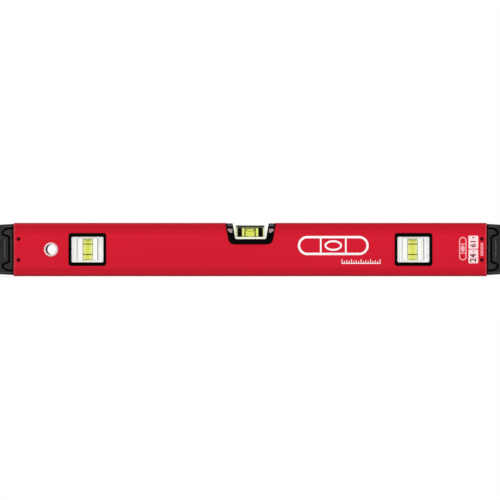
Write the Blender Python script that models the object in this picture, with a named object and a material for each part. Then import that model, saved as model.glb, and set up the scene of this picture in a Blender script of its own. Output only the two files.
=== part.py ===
"""Spirit level, 24 in box beam with a top centre vial, two plumb vials, a hang hole and two removable end caps.

Millimetres below are turned into metres by MM. X runs along the beam, -Y is the front face, +Z is up,
and the origin is the centre of the bottom working face.
"""

import math

import bmesh
import bpy
from mathutils import Vector

MM = 0.001
GAP = 0.3  # air between pieces that touch on the real level

# Beam
TUBE_L = 575.0
TUBE_H = 64.7
TUBE_D = 30.0
WEB_Y = 13.5  # half depth at the recessed web
WALL_Y = 11.3  # half depth of the hollow
FLOOR = 2.8  # thickness of the top and bottom flanges
FLANGE_H = 4.6  # height of the full-depth working flanges
MID_Z = 32.4

# End caps
CAP_OUT = 17.3
CAP_Y = 14.2
CORE_Y = 13.5
LATCH_X = 5.9  # latch hole from the beam's end
LATCH_Z = (45.1, 19.7)
LATCH_R = 2.05

# Hang hole
HANG_X = -242.1
HANG_R = 6.3

# Plumb vials
PLUMB_X = 198.0
WIN_W, WIN_H, WIN_R = 21.5, 18.6, 2.4  # half sizes and corner of the window
BEZ_W, BEZ_H, BEZ_R = 23.2, 20.35, 3.0  # outside of the bezel's flange
OPEN_W, OPEN_H, OPEN_R = 19.5, 15.75, 1.7  # inside of the bezel
BLOCK_W, BLOCK_H, BLOCK_Y = 12.9, 13.1, 7.8
BORE_R = 6.2
LINE_Z = 6.35

# Centre vial
TOP_Z = 64.2
CV_Z = 53.65
CV_R = 6.0
CV_L = 16.9
CV_LINE = 6.3
CV_BAND = (10.0, 15.0)

for o in list(bpy.data.objects):
    bpy.data.objects.remove(o, do_unlink=True)

COL = bpy.context.scene.collection


def make_object(name, bm, colour, rough, metal=0.0, smooth=None):
    bmesh.ops.remove_doubles(bm, verts=bm.verts, dist=1e-7)
    bmesh.ops.recalc_face_normals(bm, faces=bm.faces)
    if bm.calc_volume(signed=True) < 0:
        bmesh.ops.reverse_faces(bm, faces=bm.faces)
    me = bpy.data.meshes.new(name)
    bm.to_mesh(me)
    bm.free()
    ob = bpy.data.objects.new(name, me)
    COL.objects.link(ob)
    m = bpy.data.materials.new(name + "_mat")
    m.use_nodes = True
    b = m.node_tree.nodes["Principled BSDF"]
    b.inputs["Base Color"].default_value = (*colour, 1.0)
    b.inputs["Roughness"].default_value = rough
    b.inputs["Metallic"].default_value = metal
    me.materials.append(m)
    if smooth:
        me.shade_smooth()
        me.set_sharp_from_angle(angle=math.radians(smooth))
    return ob


def v(x, y, z):
    return Vector((x * MM, y * MM, z * MM))


def prism(points, lo, hi, axis):
    """A closed polygon of 2-D points swept along an axis. Points are (x, z) for Y and (y, z) for X."""
    bm = bmesh.new()
    place = {
        "Y": lambda p, t: v(p[0], t, p[1]),
        "X": lambda p, t: v(t, p[0], p[1]),
        "Z": lambda p, t: v(p[0], p[1], t),
    }[axis]
    a = [bm.verts.new(place(p, lo)) for p in points]
    b = [bm.verts.new(place(p, hi)) for p in points]
    bm.faces.new(a)
    bm.faces.new(list(reversed(b)))
    n = len(points)
    for i in range(n):
        j = (i + 1) % n
        bm.faces.new((a[j], a[i], b[i], b[j]))
    return bm


def box(x0, x1, y0, y1, z0, z1):
    return prism([(x0, z0), (x1, z0), (x1, z1), (x0, z1)], y0, y1, "Y")


def rrect(cx, cz, hw, hh, r, seg=5):
    pts = []
    for sx, sz, a0 in ((1, 1, 0), (-1, 1, 90), (-1, -1, 180), (1, -1, 270)):
        for k in range(seg + 1):
            a = math.radians(a0 + 90.0 * k / seg)
            pts.append(
                (cx + sx * (hw - r) + r * math.cos(a), cz + sz * (hh - r) + r * math.sin(a))
            )
    return pts


def rect_ring(cx, cz, section, seg=5):
    """A closed ring whose section is a list of (half width, half height, corner radius, y)."""
    bm = bmesh.new()
    loops = [
        [bm.verts.new(v(px, y, pz)) for px, pz in rrect(cx, cz, hw, hh, r, seg)]
        for hw, hh, r, y in section
    ]
    n, m = len(loops[0]), len(loops)
    for i in range(m):
        a, b = loops[i], loops[(i + 1) % m]
        for k in range(n):
            q = (k + 1) % n
            bm.faces.new((a[k], a[q], b[q], b[k]))
    return bm


def revolve(profile, axis, centre, seg=36, ring=False):
    """Turns a profile of (radius, distance along the axis). A ring's profile is closed; any other meets the axis."""
    cx, cy, cz = centre
    place = {
        "X": lambda r, t, a: v(cx + t, cy + r * math.cos(a), cz + r * math.sin(a)),
        "Y": lambda r, t, a: v(cx + r * math.cos(a), cy + t, cz + r * math.sin(a)),
        "Z": lambda r, t, a: v(cx + r * math.cos(a), cy + r * math.sin(a), cz + t),
    }[axis]
    bm = bmesh.new()
    rows = []
    for r, t in profile:
        if r < 1e-6:
            rows.append([bm.verts.new(place(0, t, 0))])
        else:
            rows.append(
                [bm.verts.new(place(r, t, 2 * math.pi * k / seg)) for k in range(seg)]
            )
    pairs = list(zip(rows, rows[1:]))
    if ring:
        pairs.append((rows[-1], rows[0]))
    for a, b in pairs:
        for k in range(seg):
            q = (k + 1) % seg
            if len(a) == 1 and len(b) == 1:
                continue
            if len(a) == 1:
                bm.faces.new((a[0], b[q], b[k]))
            elif len(b) == 1:
                bm.faces.new((a[k], a[q], b[0]))
            else:
                bm.faces.new((a[k], a[q], b[q], b[k]))
    return bm


def cylinder(axis, centre, r, lo, hi, seg=32):
    return revolve([(0, lo), (r, lo), (r, hi), (0, hi)], axis, centre, seg)


def combine(ob, bms, how):
    """Cuts each shape from an object, or joins it on, one after the other."""
    for bm in bms:
        bmesh.ops.recalc_face_normals(bm, faces=bm.faces)
        if bm.calc_volume(signed=True) < 0:
            bmesh.ops.reverse_faces(bm, faces=bm.faces)
        me = bpy.data.meshes.new("tool")
        bm.to_mesh(me)
        bm.free()
        tool = bpy.data.objects.new("tool", me)
        COL.objects.link(tool)
        md = ob.modifiers.new("b", "BOOLEAN")
        md.operation = how
        md.solver = "EXACT"
        md.object = tool
        dg = bpy.context.evaluated_depsgraph_get()
        new = bpy.data.meshes.new_from_object(ob.evaluated_get(dg), depsgraph=dg)
        ob.modifiers.clear()
        old = ob.data
        ob.data = new
        new.name = ob.name
        bpy.data.meshes.remove(old)
        bpy.data.objects.remove(tool, do_unlink=True)
        bpy.data.meshes.remove(me)
    return ob


def shade(ob, angle=35):
    ob.data.shade_smooth()
    ob.data.set_sharp_from_angle(angle=math.radians(angle))


def offset(points, d):
    """Moves each edge of a polygon outward by d and joins them at mitres."""
    n = len(points)
    area = sum(
        points[i][0] * points[(i + 1) % n][1] - points[(i + 1) % n][0] * points[i][1]
        for i in range(n)
    )
    s = 1.0 if area > 0 else -1.0
    out = []
    for i in range(n):
        p0, p1, p2 = points[i - 1], points[i], points[(i + 1) % n]
        e1 = Vector((p1[0] - p0[0], p1[1] - p0[1])).normalized()
        e2 = Vector((p2[0] - p1[0], p2[1] - p1[1])).normalized()
        n1 = Vector((e1.y, -e1.x)) * s
        n2 = Vector((e2.y, -e2.x)) * s
        b = n1 + n2
        k = d * 2.0 / b.length_squared
        out.append((p1[0] + b.x * k, p1[1] + b.y * k))
    return out


# ---------------------------------------------------------------- colours
RED = (0.62, 0.016, 0.033)
BLACK = (0.012, 0.012, 0.013)
CHARCOAL = (0.05, 0.05, 0.052)
WHITE = (0.82, 0.83, 0.82)
CLEAR = (0.9, 0.93, 0.9)
FLUID = (0.72, 0.82, 0.08)
METAL = (0.8, 0.8, 0.8)

# ---------------------------------------------------------------- beam
half = [
    (14.1, 0.0),
    (14.74, 0.26),
    (15.0, 0.9),
    (15.0, FLANGE_H),
    (14.3, 5.3),
    (14.3, 6.6),
    (14.55, 7.1),
    (14.1, 9.4),
    (13.7, 11.8),
    (WEB_Y, 14.2),
]
right = half + [(y, TUBE_H - z) for y, z in reversed(half)]
outer = right + [(-y, z) for y, z in reversed(right)]
tube = make_object(
    "frame_tube", prism(outer, -TUBE_L / 2, TUBE_L / 2, "X"), RED, 0.35, 0.0
)
c = 2.0
hollow = [
    (WALL_Y - c, FLOOR),
    (WALL_Y, FLOOR + c),
    (WALL_Y, TUBE_H - FLOOR - c),
    (WALL_Y - c, TUBE_H - FLOOR),
    (-WALL_Y + c, TUBE_H - FLOOR),
    (-WALL_Y, TUBE_H - FLOOR - c),
    (-WALL_Y, FLOOR + c),
    (-WALL_Y + c, FLOOR),
]

# The centre housing's outline, drawn past its top so that an offset keeps the sides straight
SIDE = (30.7 - 27.1) / (TUBE_H - 44.5)


def housing_outline(d, top):
    raw = [
        (27.1 + SIDE * (90.0 - 44.5), 90.0),
        (27.1, 44.5),
        (26.5, 42.0),
        (25.2, 40.1),
        (23.4, 38.9),
        (21.4, 38.6),
    ]
    raw = raw + [(-x, z) for x, z in reversed(raw)]
    pts = offset(raw, d)
    a, b = pts[0], pts[1]
    x = a[0] + (b[0] - a[0]) * (top - a[1]) / (b[1] - a[1])
    pts[0] = (x, top)
    pts[-1] = (-x, top)
    return pts


cuts = [prism(hollow, -TUBE_L, TUBE_L, "X")]
for sx in (-1, 1):
    cuts.append(prism(rrect(sx * PLUMB_X, MID_Z, WIN_W, WIN_H, WIN_R), -20, 20, "Y"))
cuts.append(cylinder("Y", (HANG_X, 0, MID_Z), 7.7, -20, 20, 40))
cuts.append(prism(housing_outline(-1.2, 80.0), -20, 20, "Y"))
for sy in (-1, 1):
    lo, hi = sorted((sy * 12.9, sy * 20.0))
    cuts.append(prism(housing_outline(0.3, 80.0), lo, hi, "Y"))
for sx in (-1, 1):
    for z in LATCH_Z:
        cuts.append(
            cylinder("Y", (sx * (TUBE_L / 2 - LATCH_X), 0, z), LATCH_R, -20, 20, 20)
        )
combine(tube, cuts, "DIFFERENCE")
shade(tube, 30)

# ---------------------------------------------------------------- end caps
groove = [
    (0.3, 6.9),
    (6.3, 6.9),
    (10.0, 8.1),
    (12.6, 10.4),
    (13.6, 12.6),
    (12.9, 14.6),
    (6.6, 16.6),
    (5.2, 18.6),
    (5.2, 46.4),
    (6.6, 48.6),
    (12.9, 50.6),
    (13.6, 52.6),
    (12.2, 55.0),
    (8.7, 57.7),
    (6.3, 58.1),
    (0.3, 58.1),
]
cap_outer = [
    (0.3, 1.7),
    (15.9, 2.2),
    (16.9, 2.7),
    (17.3, 3.7),
    (17.3, 61.0),
    (16.9, 62.0),
    (15.9, 62.5),
    (0.3, 63.0),
]


def cap_shape(pts, side, d=0.0, start=None):
    pts = offset(pts, d) if d else list(pts)
    if start is not None:
        pts[0] = (start, pts[0][1])
        pts[-1] = (start, pts[-1][1])
    return [(side * (TUBE_L / 2 + px), pz) for px, pz in pts]


for side, name in ((-1, "left"), (1, "right")):
    e = side * TUBE_L / 2
    bumper = make_object(
        name + "_end_cap_bumper",
        prism(cap_shape(cap_outer, side), -CAP_Y, CAP_Y, "Y"),
        CHARCOAL,
        0.75,
    )
    cuts = [prism(cap_shape(groove, side, -0.6 + GAP, -2.0), -9.5, 9.5, "Y")]
    for sy in (-1, 1):
        lo, hi = sorted((sy * 9.0, sy * 20.0))
        cuts.append(prism(cap_shape(groove, side, 0.6, -2.0), lo, hi, "Y"))
    combine(bumper, cuts, "DIFFERENCE")
    shade(bumper, 30)

    core = make_object(
        name + "_end_cap_core",
        prism(cap_shape(groove, side, -0.6, GAP), -CORE_Y, CORE_Y, "Y"),
        CHARCOAL,
        0.6,
    )
    x0, x1 = sorted((e - side * 17.0, e + side * 2.0))
    combine(core, [box(x0, x1, -8.2, 8.2, 8.2, 56.8)], "UNION")
    shade(core, 30)

    for sy, face in ((-1, "front"), (1, "rear")):
        x0, x1 = sorted((e - side * 15.5, e - side * 1.5))
        lo, hi = sorted((sy * 8.6, sy * 10.7))
        latch = make_object(
            name + "_cap_latch_" + face, box(x0, x1, lo, hi, 12.0, 52.8), CHARCOAL, 0.55
        )
        lo, hi = sorted((sy * 10.0, sy * 12.7))
        combine(
            latch,
            [
                cylinder("Y", (e - side * LATCH_X, 0, z), LATCH_R - 0.35, lo, hi, 20)
                for z in LATCH_Z
            ],
            "UNION",
        )
        shade(latch, 30)

# ---------------------------------------------------------------- hang hole
for sy, face in ((-1, "front"), (1, "rear")):
    section = [
        (HANG_R, 14.2),
        (HANG_R + 0.5, 14.7),
        (8.1, 14.7),
        (8.6, 14.2),
        (8.6, WEB_Y + GAP),
        (7.4, WEB_Y + GAP),
        (7.4, 11.3),
        (HANG_R, 11.3),
    ]
    make_object(
        "hang_hole_rim_" + face,
        revolve([(r, sy * t) for r, t in section], "Y", (HANG_X, 0, MID_Z), 40, True),
        METAL,
        0.3,
        1.0,
        30,
    )
make_object(
    "hang_hole_sleeve",
    revolve(
        [(HANG_R + 0.1, -11.0), (HANG_R + 0.1, 11.0), (7.4, 11.0), (7.4, -11.0)],
        "Y",
        (HANG_X, 0, MID_Z),
        40,
        True,
    ),
    CHARCOAL,
    0.5,
    0.0,
    30,
)

# ---------------------------------------------------------------- plumb vials
for side, name in ((-1, "left"), (1, "right")):
    x = side * PLUMB_X
    for sy, face in ((-1, "front"), (1, "rear")):
        section = [
            (OPEN_W, OPEN_H, OPEN_R, 9.0),
            (OPEN_W, OPEN_H, OPEN_R, 14.5),
            (OPEN_W + 0.45, OPEN_H + 0.45, OPEN_R + 0.45, 14.95),
            (BEZ_W - 0.6, BEZ_H - 0.6, BEZ_R - 0.6, 14.95),
            (BEZ_W, BEZ_H, BEZ_R, 14.35),
            (BEZ_W, BEZ_H, BEZ_R, WEB_Y + GAP),
            (WIN_W - GAP, WIN_H - GAP, WIN_R - GAP, WEB_Y + GAP),
            (WIN_W - GAP, WIN_H - GAP, WIN_R - GAP, 9.0),
        ]
        make_object(
            f"{name}_plumb_bezel_{face}",
            rect_ring(x, MID_Z, [(a, b, r, sy * t) for a, b, r, t in section], 4),
            BLACK,
            0.45,
            0.0,
            35,
        )
    oW, oH, oR = WIN_W - GAP, WIN_H - GAP, WIN_R - GAP
    sW, sH = 17.2, 15.0
    iW, iH = BLOCK_W + GAP, BLOCK_H + GAP
    section = [
        (oW, oH, oR, -8.7),
        (oW, oH, oR, 8.7),
        (sW, sH, 1.0, 8.7),
        (sW, sH, 1.0, 5.2),
        (iW, iH, 0.6, 5.2),
        (iW, iH, 0.6, -5.2),
        (sW, sH, 1.0, -5.2),
        (sW, sH, 1.0, -8.7),
    ]
    make_object(
        f"{name}_plumb_holder", rect_ring(x, MID_Z, section, 4), WHITE, 0.4, 0.0, 35
    )
    block = make_object(
        f"{name}_plumb_block",
        box(
            x - BLOCK_W,
            x + BLOCK_W,
            -BLOCK_Y,
            BLOCK_Y,
            MID_Z - BLOCK_H,
            MID_Z + BLOCK_H,
        ),
        CLEAR,
        0.05,
    )
    combine(block, [cylinder("Z", (x, 0, MID_Z), BORE_R, -20, 20, 36)], "DIFFERENCE")
    shade(block, 30)
    R, L = BORE_R - GAP, 12.0
    g = 0.7
    section = [(4.6, -L), (4.6, L), (R, L)]
    for z in (LINE_Z, -LINE_Z):
        section += [(R, z + g), (5.0, z + g), (5.0, z - g), (R, z - g)]
    section += [(R, -L)]
    make_object(
        f"{name}_plumb_fluid",
        revolve(section, "Z", (x, 0, MID_Z), 36, True),
        FLUID,
        0.05,
        0.0,
        30,
    )
    for z, where in ((LINE_Z, "upper"), (-LINE_Z, "lower")):
        make_object(
            f"{name}_plumb_line_{where}",
            revolve(
                [(5.3, z - 0.4), (5.3, z + 0.4), (R, z + 0.4), (R, z - 0.4)],
                "Z",
                (x, 0, MID_Z),
                36,
                True,
            ),
            BLACK,
            0.4,
            0.0,
            30,
        )
    for s, where in ((1, "top"), (-1, "bottom")):
        lo, hi = sorted((s * 12.3, s * BLOCK_H))
        make_object(
            f"{name}_plumb_plug_{where}",
            cylinder("Z", (x, 0, MID_Z), R, lo, hi, 36),
            CLEAR,
            0.1,
            0.0,
            30,
        )
    prof = [
        (4.25 * math.sin(math.pi * k / 10) ** 0.7, -1.95 * math.cos(math.pi * k / 10))
        for k in range(1, 10)
    ]
    prof = [(0.0, -1.95)] + prof + [(0.0, 1.95)]
    make_object(
        f"{name}_plumb_bubble",
        revolve(prof, "Z", (x, 0, MID_Z + 9.8), 24),
        (0.93, 0.96, 0.72),
        0.05,
        0.0,
        60,
    )

# ---------------------------------------------------------------- centre vial
housing = make_object(
    "centre_vial_housing",
    prism(housing_outline(-1.5, TOP_Z), -14.0, 14.0, "Y"),
    BLACK,
    0.45,
)
joins = []
for sy in (-1, 1):
    lo, hi = sorted((sy * 13.2, sy * 15.0))
    joins.append(prism(housing_outline(0.0, TOP_Z), lo, hi, "Y"))
combine(housing, joins, "UNION")
IN = (20.8 - 18.4) / 19.6
opening = [
    (20.8 + IN * 15.3, 80.0),
    (18.55, 46.3),
    (18.1, 45.5),
    (17.2, 45.1),
]
opening = opening + [(-a, b) for a, b in reversed(opening)]
cuts = [prism(opening, -20, 20, "Y"), box(-18.1, 18.1, -11.5, 11.5, 43.8, 46.0)]
for sx in (-1, 1):
    for sy in (-1, 1):
        x0, x1 = sorted((sx * 21.9, sx * 27.9))
        cuts.append(
            prism(
                [(sy * 16.0, 51.3), (sy * 12.6, 58.3), (sy * 16.0, 58.3)], x0, x1, "X"
            )
        )
combine(housing, cuts, "DIFFERENCE")
shade(housing, 30)

u = [(20.3, 63.6), (18.2, 46.4), (17.8, 45.6), (17.8, 44.1)]
ui = [(17.2, 47.4), (17.2, 63.6)]
outline = u + [(-a, b) for a, b in reversed(u)]
outline += [(-17.2, 63.6), (-17.2, 47.4)] + ui
reflector = make_object(
    "centre_vial_reflector", prism(outline, -11.2, 11.2, "Y"), WHITE, 0.4
)
combine(reflector, [box(-17.0, 17.0, -8.2, 8.2, 46.1, 50.0)], "DIFFERENCE")
shade(reflector, 30)

block = make_object(
    "centre_vial_block", box(-16.7, 16.7, -7.8, 7.8, 46.4, 61.8), CLEAR, 0.05
)
combine(block, [cylinder("X", (0, 0, CV_Z), CV_R, -20, 20, 36)], "DIFFERENCE")
shade(block, 30)

R, L = CV_R - GAP, 15.3
section = [(0.0, -L), (R, -L)]
b0, b1 = CV_BAND[0] - GAP, CV_BAND[1] - 0.2
grooves = [
    (-b1 - GAP, -b0),
    (-CV_LINE - 0.7, -CV_LINE + 0.7),
    (CV_LINE - 0.7, CV_LINE + 0.7),
    (b0, b1 + GAP),
]
section = [(0.0, -15.4), (4.8, -15.4), (4.8, grooves[0][1])]
section += [(R, grooves[0][1])]
for lo, hi in grooves[1:3]:
    section += [(R, lo), (4.8, lo), (4.8, hi), (R, hi)]
section += [(R, grooves[3][0]), (4.8, grooves[3][0]), (4.8, 15.4), (0.0, 15.4)]
fluid = make_object(
    "centre_vial_fluid", revolve(section, "X", (0, 0, CV_Z), 36), FLUID, 0.05
)
combine(fluid, [box(-14.4, 14.4, -4.3, 4.3, CV_Z - 1.0, CV_Z + 9.0)], "DIFFERENCE")
shade(fluid, 30)

for s, where in ((-1, "left"), (1, "right")):
    lo, hi = sorted((s * CV_BAND[0], s * CV_BAND[1]))
    make_object(
        "centre_vial_band_" + where,
        revolve([(5.1, lo), (5.1, hi), (R, hi), (R, lo)], "X", (0, 0, CV_Z), 36, True),
        BLACK,
        0.4,
        0.0,
        30,
    )
    lo, hi = sorted((s * (CV_LINE - 0.4), s * (CV_LINE + 0.4)))
    make_object(
        "centre_vial_line_" + where,
        revolve([(5.1, lo), (5.1, hi), (R, hi), (R, lo)], "X", (0, 0, CV_Z), 36, True),
        BLACK,
        0.4,
        0.0,
        30,
    )
    lo, hi = sorted((s * 15.7, s * 16.7))
    make_object(
        "centre_vial_plug_" + where,
        cylinder("X", (0, 0, CV_Z), R, lo, hi, 36),
        CLEAR,
        0.1,
        0.0,
        30,
    )
bm = bmesh.new()
bmesh.ops.create_uvsphere(bm, u_segments=24, v_segments=12, radius=1.0)
for q in bm.verts:
    q.co = v(q.co.x * 5.7, q.co.y * 3.9, CV_Z + 2.05 + q.co.z * 2.6)
make_object("centre_vial_bubble", bm, (0.93, 0.96, 0.72), 0.05, 0.0, 60)
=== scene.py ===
import math

import bmesh
import bpy
from mathutils import Matrix, Vector


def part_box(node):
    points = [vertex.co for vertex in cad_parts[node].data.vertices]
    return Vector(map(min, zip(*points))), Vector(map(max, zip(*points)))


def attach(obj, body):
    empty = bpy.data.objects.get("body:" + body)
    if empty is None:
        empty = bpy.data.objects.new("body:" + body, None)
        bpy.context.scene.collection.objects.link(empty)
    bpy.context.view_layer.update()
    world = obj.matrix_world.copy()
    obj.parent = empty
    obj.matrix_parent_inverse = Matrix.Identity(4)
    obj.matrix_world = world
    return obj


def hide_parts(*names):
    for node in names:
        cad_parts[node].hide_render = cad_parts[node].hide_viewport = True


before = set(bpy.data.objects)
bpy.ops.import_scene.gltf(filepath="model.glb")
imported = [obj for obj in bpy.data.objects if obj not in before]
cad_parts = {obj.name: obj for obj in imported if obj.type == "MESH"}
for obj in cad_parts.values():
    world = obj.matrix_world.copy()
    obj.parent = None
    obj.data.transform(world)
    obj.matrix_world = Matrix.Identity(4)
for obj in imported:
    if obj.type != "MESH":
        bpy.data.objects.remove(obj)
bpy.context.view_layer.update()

MM = 0.001
ROOT = "level_body"


def node_box(name):
    """(lowest, highest) corner of a CAD node in millimetres."""
    lo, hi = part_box(name)
    return lo / MM, hi / MM


T_LO, T_HI = node_box("frame_tube")
TUBE_X = T_HI.x  # half length of the beam
TUBE_H = T_HI.z
MID_Z = 32.4
XC = 0.6  # the surround of the top vial sits this far off the middle
FX = {"left": 0.15, "right": 0.5}  # and the window frames this far off theirs
WEB_Y = 13.5


CV_Z = 53.35
PLUMB = {}
for s in ("left", "right"):
    lo, hi = node_box(s + "_plumb_block")
    PLUMB[s] = (lo.x + hi.x) / 2
lo, hi = node_box("hang_hole_sleeve")
HANG_X = (lo.x + hi.x) / 2


# ------------------------------------------------------------------ mesh helpers
def v(x, y, z):
    return Vector((x * MM, y * MM, z * MM))


def prism(points, lo, hi, axis):
    bm = bmesh.new()
    place = {
        "Y": lambda p, t: v(p[0], t, p[1]),
        "X": lambda p, t: v(t, p[0], p[1]),
        "Z": lambda p, t: v(p[0], p[1], t),
    }[axis]
    a = [bm.verts.new(place(p, lo)) for p in points]
    b = [bm.verts.new(place(p, hi)) for p in points]
    bm.faces.new(a)
    bm.faces.new(list(reversed(b)))
    n = len(points)
    for i in range(n):
        j = (i + 1) % n
        bm.faces.new((a[j], a[i], b[i], b[j]))
    return bm


def loft(loops):
    """A closed body through loops of 3-D points in millimetres, with flat ends."""
    bm = bmesh.new()
    rows = [[bm.verts.new(v(*p)) for p in loop] for loop in loops]
    n = len(rows[0])
    for a, b in zip(rows, rows[1:]):
        for i in range(n):
            j = (i + 1) % n
            bm.faces.new((a[i], a[j], b[j], b[i]))
    bm.faces.new(rows[0])
    bm.faces.new(list(reversed(rows[-1])))
    return bm


def box(x0, x1, y0, y1, z0, z1):
    return prism([(x0, z0), (x1, z0), (x1, z1), (x0, z1)], y0, y1, "Y")


def merge(*bms):
    """Puts several separate closed bodies in one mesh."""
    out = bmesh.new()
    for bm in bms:
        bmesh.ops.recalc_face_normals(bm, faces=bm.faces)
        me = bpy.data.meshes.new("part")
        bm.to_mesh(me)
        bm.free()
        out.from_mesh(me)
        bpy.data.meshes.remove(me)
    return out


def rrect(cx, cz, hw, hh, r, seg=8):
    pts = []
    for sx, sz, a0 in ((1, 1, 0), (-1, 1, 90), (-1, -1, 180), (1, -1, 270)):
        for k in range(seg + 1):
            a = math.radians(a0 + 90.0 * k / seg)
            pts.append(
                (cx + sx * (hw - r) + r * math.cos(a), cz + sz * (hh - r) + r * math.sin(a))
            )
    return pts


def rect_ring(cx, cz, section, seg=8):
    bm = bmesh.new()
    loops = [
        [bm.verts.new(v(px, y, pz)) for px, pz in rrect(cx, cz, hw, hh, r, seg)]
        for hw, hh, r, y in section
    ]
    n, m = len(loops[0]), len(loops)
    for i in range(m):
        a, b = loops[i], loops[(i + 1) % m]
        for k in range(n):
            q = (k + 1) % n
            bm.faces.new((a[k], a[q], b[q], b[k]))
    return bm


def revolve(profile, axis, centre, seg=64, ring=False):
    cx, cy, cz = centre
    place = {
        "X": lambda r, t, a: v(cx + t, cy + r * math.cos(a), cz + r * math.sin(a)),
        "Y": lambda r, t, a: v(cx + r * math.cos(a), cy + t, cz + r * math.sin(a)),
        "Z": lambda r, t, a: v(cx + r * math.cos(a), cy + r * math.sin(a), cz + t),
    }[axis]
    bm = bmesh.new()
    rows = []
    for r, t in profile:
        if r < 1e-6:
            rows.append([bm.verts.new(place(0, t, 0))])
        else:
            rows.append(
                [bm.verts.new(place(r, t, 2 * math.pi * k / seg)) for k in range(seg)]
            )
    pairs = list(zip(rows, rows[1:]))
    if ring:
        pairs.append((rows[-1], rows[0]))
    for a, b in pairs:
        for k in range(seg):
            q = (k + 1) % seg
            if len(a) == 1 and len(b) == 1:
                continue
            if len(a) == 1:
                bm.faces.new((a[0], b[q], b[k]))
            elif len(b) == 1:
                bm.faces.new((a[k], a[q], b[0]))
            else:
                bm.faces.new((a[k], a[q], b[q], b[k]))
    return bm


def offset(points, d):
    n = len(points)
    area = sum(
        points[i][0] * points[(i + 1) % n][1] - points[(i + 1) % n][0] * points[i][1]
        for i in range(n)
    )
    s = 1.0 if area > 0 else -1.0
    out = []
    for i in range(n):
        p0, p1, p2 = points[i - 1], points[i], points[(i + 1) % n]
        e1 = Vector((p1[0] - p0[0], p1[1] - p0[1])).normalized()
        e2 = Vector((p2[0] - p1[0], p2[1] - p1[1])).normalized()
        n1 = Vector((e1.y, -e1.x)) * s
        n2 = Vector((e2.y, -e2.x)) * s
        b = n1 + n2
        k = d * 2.0 / max(b.length_squared, 0.3)
        out.append((p1[0] + b.x * k, p1[1] + b.y * k))
    return out


def rounded(points, radii, seg=6):
    """A polygon with each corner turned into an arc of its own radius (0 keeps it sharp)."""
    out = []
    n = len(points)
    for i in range(n):
        p0, p1, p2 = (Vector(points[i - 1]), Vector(points[i]), Vector(points[(i + 1) % n]))
        r = radii[i] if isinstance(radii, (list, tuple)) else radii
        if r <= 0:
            out.append(tuple(p1))
            continue
        a, b = (p0 - p1), (p2 - p1)
        la, lb = a.length, b.length
        a.normalize()
        b.normalize()
        ang = a.angle(b)
        t = min(r / math.tan(ang / 2), la * 0.48, lb * 0.48)
        s, e = p1 + a * t, p1 + b * t
        for k in range(seg + 1):
            u = k / seg
            q = s * (1 - u) ** 2 + p1 * 2 * u * (1 - u) + e * u * u
            out.append(tuple(q))
    return out


def cut(ob, bms, how="DIFFERENCE"):
    for bm in bms:
        bmesh.ops.recalc_face_normals(bm, faces=bm.faces)
        me = bpy.data.meshes.new("tool")
        bm.to_mesh(me)
        bm.free()
        tool = bpy.data.objects.new("tool", me)
        bpy.context.scene.collection.objects.link(tool)
        md = ob.modifiers.new("b", "BOOLEAN")
        md.operation = how
        md.solver = "EXACT"
        md.object = tool
        dg = bpy.context.evaluated_depsgraph_get()
        new = bpy.data.meshes.new_from_object(ob.evaluated_get(dg), depsgraph=dg)
        ob.modifiers.clear()
        old = ob.data
        ob.data = new
        bpy.data.meshes.remove(old)
        bpy.data.objects.remove(tool, do_unlink=True)
        bpy.data.meshes.remove(me)
    return ob


def raw(name, bm):
    bmesh.ops.remove_doubles(bm, verts=bm.verts, dist=1e-7)
    bmesh.ops.recalc_face_normals(bm, faces=bm.faces)
    me = bpy.data.meshes.new(name)
    bm.to_mesh(me)
    bm.free()
    ob = bpy.data.objects.new(name, me)
    bpy.context.scene.collection.objects.link(ob)
    return ob


def finish_piece(ob, mat, body, nodes=(), slot=None, bevel=0.0, seg=3, angle=40, smooth=35, wn=True):
    me = ob.data
    me.materials.clear()
    me.materials.append(mat)
    me.shade_smooth()
    me.set_sharp_from_angle(angle=math.radians(smooth))
    if bevel:
        md = ob.modifiers.new("edge", "BEVEL")
        md.width = bevel * MM
        md.segments = seg
        md.limit_method = "ANGLE"
        md.angle_limit = math.radians(angle)
        md.use_clamp_overlap = True
        md.miter_outer = "MITER_ARC"
        md.harden_normals = False
    if wn:
        md = ob.modifiers.new("normals", "WEIGHTED_NORMAL")
        md.keep_sharp = True
        md.weight = 60
    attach(ob, body)
    if nodes:
        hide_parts(*nodes)
    return ob


def piece(name, bm, mat, body=ROOT, nodes=(), **kw):
    return finish_piece(raw(name, bm), mat, body, nodes, **kw)


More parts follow.
